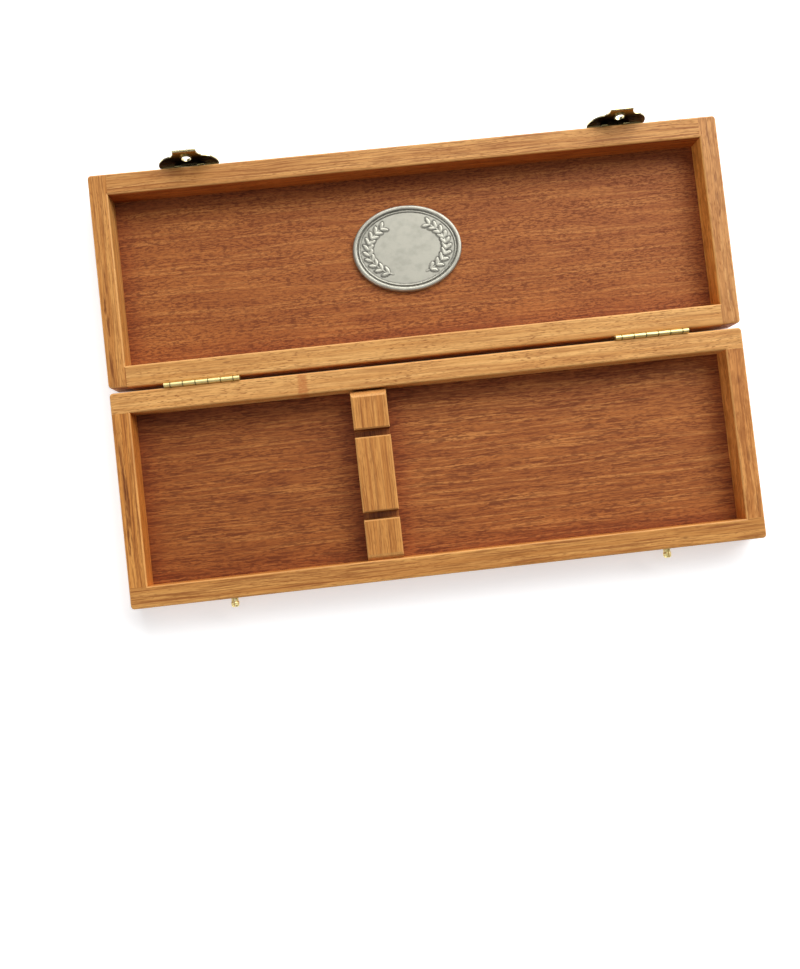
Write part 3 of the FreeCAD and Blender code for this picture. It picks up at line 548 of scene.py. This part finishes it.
# oval badge, sizes in millimetres: border, dark groove, thin raised line, and two leafy sprigs at the sides
badge = {
    "middle": (-3.9, 114.3),
    "half": (28.2, 22.4),
    "foot": 4.0,
    # height by distance in from the rim
    "profile": [(0.0, 5.15), (0.10, 5.55), (0.32, 5.92), (0.65, 6.12), (1.1, 6.19),
                (1.7, 6.17), (2.1, 6.05), (2.35, 5.62), (2.6, 5.52), (2.85, 5.58),
                (3.05, 5.92), (3.25, 6.0), (3.45, 5.92), (3.7, 5.62)],
    "field": {"height": 5.6, "crown": 0.06, "ease": 0.6, "from": 4.0, "hub": 0.4},
    # dark lines: distance in from the rim, width, depth
    "lines": [(2.55, 0.36, 1.0), (3.85, 0.36, 0.8)],
    "steps": 440,
    "pitch": 0.30,
    "leaf": {"long": 2.1, "wide": 0.85, "tall": 0.36, "point": 0.75, "thinnest": 1e-3, "rib": 0.35,
             "ribWidth": 0.14, "halo": (0.35, 0.4, 0.22)},
    "stem": {"tall": 0.22, "wide": 0.32, "halo": (0.8, 0.5, 0.25), "points": 60, "tail": 6.0},
    "sprig": {"inset": 8.2, "from": -58.0, "to": 50.0, "leaves": 10, "lean": 38.0, "reach": 0.95},
    "clean": 0.16,
}


def sprigLeaves(spec):
    # middle and direction of each leaf, in pairs along a stem that follows the oval
    leaves = []
    stem = []
    grow = spec["sprig"]
    a, b = [v - grow["inset"] for v in spec["half"]]
    reach = spec["leaf"]["long"] * grow["reach"]
    for hand in (1, -1):
        for i in range(grow["leaves"]):
            turn = math.radians(grow["from"] + (grow["to"] - grow["from"]) * i / (grow["leaves"] - 1))
            x, y = a * math.cos(turn), b * math.sin(turn)
            tangent = math.atan2(b * math.cos(turn), -a * math.sin(turn))
            for side in (1, -1):
                lean = tangent + side * math.radians(grow["lean"])
                leaves.append((hand * (x + reach * math.cos(lean)), y + reach * math.sin(lean),
                               lean if hand > 0 else math.pi - lean))
        first = grow["from"] - spec["stem"]["tail"]
        for turn in np.radians(np.linspace(first, grow["to"], spec["stem"]["points"])):
            stem.append((hand * a * math.cos(turn), b * math.sin(turn)))
    return leaves, np.array(stem)


def bell(value, middle, width):
    return np.exp(-((value - middle) / width) ** 2)


def badgeRelief(spec, x, y, inset):
    # height and patina at each point of the face
    depths, levels = zip(*spec["profile"])
    heights = np.interp(inset, depths, levels)
    field = spec["field"]
    crown = field["crown"] * np.clip((inset - depths[-1]) / field["ease"], 0, 1)
    heights = np.where(inset > depths[-1], field["height"] + crown, heights)
    patina = sum(depth * bell(inset, middle, width) for middle, width, depth in spec["lines"])
    leaves, points = sprigLeaves(spec)
    leaf, stem = spec["leaf"], spec["stem"]
    raised = np.zeros_like(heights)
    halo = np.zeros_like(heights)
    around, beside, soft = leaf["halo"]
    for cx, cy, lean in leaves:
        u = (x - cx) * math.cos(lean) + (y - cy) * math.sin(lean)
        v = -(x - cx) * math.sin(lean) + (y - cy) * math.cos(lean)
        taper = np.clip(1 - (u / leaf["long"]) ** 2, 0.0, 1) ** leaf["point"]
        width = leaf["wide"] * taper + leaf["thinnest"]
        inside = np.clip(1 - (v / width) ** 2, 0, 1) * (np.abs(u) < leaf["long"])
        rib = 1 - leaf["rib"] * bell(v, 0.0, leaf["ribWidth"])
        raised = np.maximum(raised, leaf["tall"] * np.sqrt(inside) * rib)
        ring = np.hypot(u / (leaf["long"] + around), v / (leaf["wide"] + beside))
        halo = np.maximum(halo, bell(ring, 1.0, soft))
    gap = np.min(np.hypot(x[..., None] - points[:, 0], y[..., None] - points[:, 1]), axis=-1)
    raised = np.maximum(raised, stem["tall"] * np.sqrt(np.clip(1 - (gap / stem["wide"]) ** 2, 0, 1)))
    depth, middle, soft = stem["halo"]
    halo = np.maximum(halo, depth * bell(gap, middle, soft))
    patina = np.maximum(patina, halo * np.clip(1 - raised / spec["clean"], 0, 1))
    return heights + raised, np.clip(patina, 0, 1)


def makeBadge(spec):
    a, b = spec["half"]
    field = spec["field"]
    inner = np.arange(field["from"], b - field["hub"], spec["pitch"])
    insets = np.array([p[0] for p in spec["profile"]] + list(inner))
    turns = np.linspace(0, 2 * math.pi, spec["steps"], endpoint=False)
    inset, turn = np.meshgrid(insets, turns, indexing="ij")
    x, y = (a - inset) * np.cos(turn), (b - inset) * np.sin(turn)
    height, patina = badgeRelief(spec, x, y, inset)
    rings, steps = inset.shape
    foot = np.stack([a * np.cos(turns), b * np.sin(turns), np.full(steps, spec["foot"])], axis=-1)
    points = np.concatenate([foot, np.stack([x, y, height], axis=-1).reshape(-1, 3)])
    points[:, :2] += spec["middle"]
    faces = []
    for ring in range(rings):
        low, high = ring * steps, (ring + 1) * steps
        for i in range(steps):
            j = (i + 1) % steps
            faces.append((low + i, low + j, high + j, high + i))
    faces.append(tuple(range(rings * steps, (rings + 1) * steps)))
    faces.append(tuple(range(steps - 1, -1, -1)))
    mesh = bpy.data.meshes.new("cast_badge")
    mesh.from_pydata((points / perMetre).tolist(), [], faces)
    mesh.update()
    mark = mesh.attributes.new("patina", "FLOAT", "POINT")
    mark.data.foreach_set("value", np.concatenate([np.zeros(steps), patina.ravel()]).astype(np.float32))
    mesh.shade_smooth()
    mesh.materials.append(cast)
    piece = bpy.data.objects.new("cast_badge", mesh)
    scene.collection.objects.link(piece)
    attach(piece, "lid")
    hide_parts("lid_badge")


makeBadge(badge)
print("badge made")

# fasteners, sizes in metres: slotted countersunk screws along the hinges, domed nails in the hasp plates
screws = {"head": 0.0014, "sink": 0.00065, "shank": 0.0007, "length": 0.0070, "tip": 0.0001, "slot": 0.00042,
          "slotDepth": 0.00035}
nails = {"head": 0.0010, "rise": 0.00042, "shank": 0.0006, "length": 0.0062, "tip": 0.0001}
# numbers of sides; slotReach is in head radii and taper in shank radii
make = {"headSides": 32, "domeSides": 24, "domeRings": 16, "shankSides": 16, "slotReach": 3.0, "taper": 2.0}
# places along x, left and right of the middle
hingeSpots = {"middle": 0.11385, "steps": (-0.01375, 0.0, 0.01375)}
nailSpots = {"middle": 0.1094, "steps": (-0.010, 0.010)}
fasteners = {
    "base_screws": {"node": "base_hinge_screws", "body": "base", "kind": "screw", "at": hingeSpots,
                    "y": 0.05440, "z": 0.0105, "turn": math.radians(-90)},
    "lid_screws": {"node": "lid_hinge_screws", "body": "lid", "kind": "screw", "at": hingeSpots,
                   "y": 0.05550, "z": 0.0105, "turn": math.radians(90)},
    "plate_nails": {"node": "catch_plate_nails", "body": "lid", "kind": "nail", "at": nailSpots,
                    "y": 0.16425, "z": 0.0080, "turn": math.radians(-90)},
}


def fastenerTree(name, kind, sizes, material):
    # the head's face lies at the point, the shank runs down from it
    tree = bpy.data.node_groups.new(name, "GeometryNodeTree")
    tree.interface.new_socket("Geometry", in_out="INPUT", socket_type="NodeSocketGeometry")
    for label in (*sizes, "turn"):
        tree.interface.new_socket(label, in_out="INPUT", socket_type="NodeSocketFloat")
    tree.interface.new_socket("Geometry", in_out="OUTPUT", socket_type="NodeSocketGeometry")
    add = nodeMaker(tree, "GeometryNode")
    calc = nodeMaker(tree)
    enter = tree.nodes.new("NodeGroupInput").outputs
    leave = tree.nodes.new("NodeGroupOutput")
    join = add("JoinGeometry")

    def lowered(shape, depth):
        down = calc("CombineXYZ", Z=math2(calc, "MULTIPLY", depth, -1.0)).outputs[0]
        return add("Transform", Geometry=shape, Translation=down).outputs[0]

    def put(shape):
        tree.links.new(shape, join.inputs[0])

    if kind == "screw":
        head = add("MeshCone", {"fill_type": "NGON"}, Vertices=make["headSides"], Radius_Top=enter["head"],
                   Radius_Bottom=enter["shank"], Depth=enter["sink"]).outputs[0]
        head = lowered(head, enter["sink"])
        reach = math2(calc, "MULTIPLY", enter["head"], make["slotReach"])
        both = math2(calc, "MULTIPLY", enter["slotDepth"], 2.0)  # half of the bar stands above the face
        cut = calc("CombineXYZ", X=reach, Y=enter["slot"], Z=both).outputs[0]
        bar = add("MeshCube", Size=cut).outputs[0]
        put(add("MeshBoolean", {"operation": "DIFFERENCE", "solver": "EXACT"}, i0=head, i1=bar).outputs[0])
        start = enter["sink"]
        stem = math2(calc, "SUBTRACT", enter["length"], start)
    else:
        dome = add("MeshUVSphere", Segments=make["domeSides"], Rings=make["domeRings"],
                   Radius=enter["head"]).outputs[0]
        squat = math2(calc, "DIVIDE", enter["rise"], enter["head"])
        scale = calc("CombineXYZ", X=1.0, Y=1.0, Z=squat).outputs[0]
        put(add("Transform", Geometry=dome, Scale=scale).outputs[0])
        start = 0.0
        stem = enter["length"]
    taper = math2(calc, "MULTIPLY", enter["shank"], make["taper"])
    straight = math2(calc, "SUBTRACT", stem, taper)
    shank = add("MeshCylinder", Vertices=make["shankSides"], Radius=enter["shank"], Depth=straight).outputs[0]
    put(lowered(shank, math2(calc, "ADD", math2(calc, "MULTIPLY", straight, 0.5), start)))
    tip = add("MeshCone", Vertices=make["shankSides"], Radius_Top=enter["shank"], Radius_Bottom=enter["tip"],
              Depth=taper).outputs[0]
    put(lowered(tip, math2(calc, "ADD", stem, start)))
    aim = calc("CombineXYZ", X=enter["turn"]).outputs[0]
    spots = add("MeshToPoints", Mesh=enter["Geometry"]).outputs[0]
    copies = add("InstanceOnPoints", Points=spots, Instance=join.outputs[0], Rotation=aim).outputs[0]
    real = add("RealizeInstances", Geometry=copies).outputs[0]
    done = add("SetMaterial", Geometry=real, Material=material).outputs[0]
    tree.links.new(done, leave.inputs[0])
    return tree


def setFasteners(name, spec):
    sizes = screws if spec["kind"] == "screw" else nails
    row = [side * spec["at"]["middle"] + step for side in (-1, 1) for step in spec["at"]["steps"]]
    mesh = bpy.data.meshes.new(name + "_spots")
    mesh.from_pydata([(x, spec["y"], spec["z"]) for x in row], [], [])
    seed = bpy.data.objects.new(name + "_spots", mesh)
    scene.collection.objects.link(seed)
    tree = fastenerTree(name, spec["kind"], sizes, plated)
    grow = seed.modifiers.new("grow", "NODES")
    grow.node_group = tree
    ids = {item.name: item.identifier for item in tree.interface.items_tree if item.in_out == "INPUT"}
    for label, amount in {**sizes, "turn": spec["turn"]}.items():
        grow[ids[label]] = amount
    grown = bpy.data.meshes.new_from_object(seed.evaluated_get(bpy.context.evaluated_depsgraph_get()))
    bpy.data.objects.remove(seed)
    grown.name = name
    piece = bpy.data.objects.new(name, grown)
    scene.collection.objects.link(piece)
    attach(piece, spec["body"])
    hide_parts(spec["node"])
    print(name, len(grown.polygons), "faces")


for name, spec in fasteners.items():
    setFasteners(name, spec)

# studio: a long soft light from the far side, a little to the right, a weak one from the near left,
# a soft box overhead, and a pale floor
lights = {
    "key": {"spot": (0.72, 1.32, 1.15), "aim": (0, 0.055, 0), "size": (3.2, 1.3), "power": 63.0},
    "fill": {"spot": (-1.1, -0.8, 0.5), "aim": (0, 0.055, 0), "size": (0.9, 0.7), "power": 5.0},
    "top": {"spot": (-0.10, 0.02, 1.5), "aim": (-0.10, 0.02, 0), "size": (0.9, 0.9), "power": 2.6},
}
sky = {"colour": (1.0, 1.0, 1.0, 1.0), "strength": 0.13}
# the floor glows a little, except in the gap between the two halves
paleFloor = {
    "half": 3.0,
    "colour": (0.92, 0.92, 0.93, 1.0),
    "roughness": 0.8,
    "glow": 0.42,
    "glowColour": (1.0, 1.0, 1.0, 1.0),
    "gapMiddle": (0.0, 0.05495),
    "gapDark": (0.148, 0.0),
    "gapClear": (0.164, 0.016),
}


def areaLight(name, spec):
    data = bpy.data.lights.new(name, "AREA")
    data.shape = "RECTANGLE"
    data.size, data.size_y = spec["size"]
    data.energy = spec["power"]
    lamp = bpy.data.objects.new(name, data)
    scene.collection.objects.link(lamp)
    lamp.location = spec["spot"]
    lamp.rotation_euler = (Vector(spec["aim"]) - Vector(spec["spot"])).to_track_quat("-Z", "Y").to_euler()


def makeFloor(spec):
    mesh = bpy.data.meshes.new("floor")
    shape = bmesh.new()
    bmesh.ops.create_grid(shape, x_segments=1, y_segments=1, size=spec["half"])
    shape.to_mesh(mesh)
    shape.free()
    floor = bpy.data.objects.new("floor", mesh)
    scene.collection.objects.link(floor)
    material, add = newMaterial("pale_floor")
    spot = axes(add, "Object")
    past = []
    for value, middle, dark, clear in zip(spot, spec["gapMiddle"], spec["gapDark"], spec["gapClear"]):
        past.append(fade(add, away(add, value, middle), dark, clear, 0.0, spec["glow"]))
    glow = math2(add, "MAXIMUM", *past)
    surface(add, spec["colour"], spec["roughness"], Emission_Color=spec["glowColour"], Emission_Strength=glow)
    mesh.materials.append(material)


def makeSky(spec):
    world = bpy.data.worlds.new("studio")
    world.use_nodes = True
    inputs = world.node_tree.nodes["Background"].inputs
    inputs[0].default_value = spec["colour"]
    inputs[1].default_value = spec["strength"]
    scene.world = world


makeFloor(paleFloor)
for name, spec in lights.items():
    areaLight(name, spec)
makeSky(sky)
print("studio set")
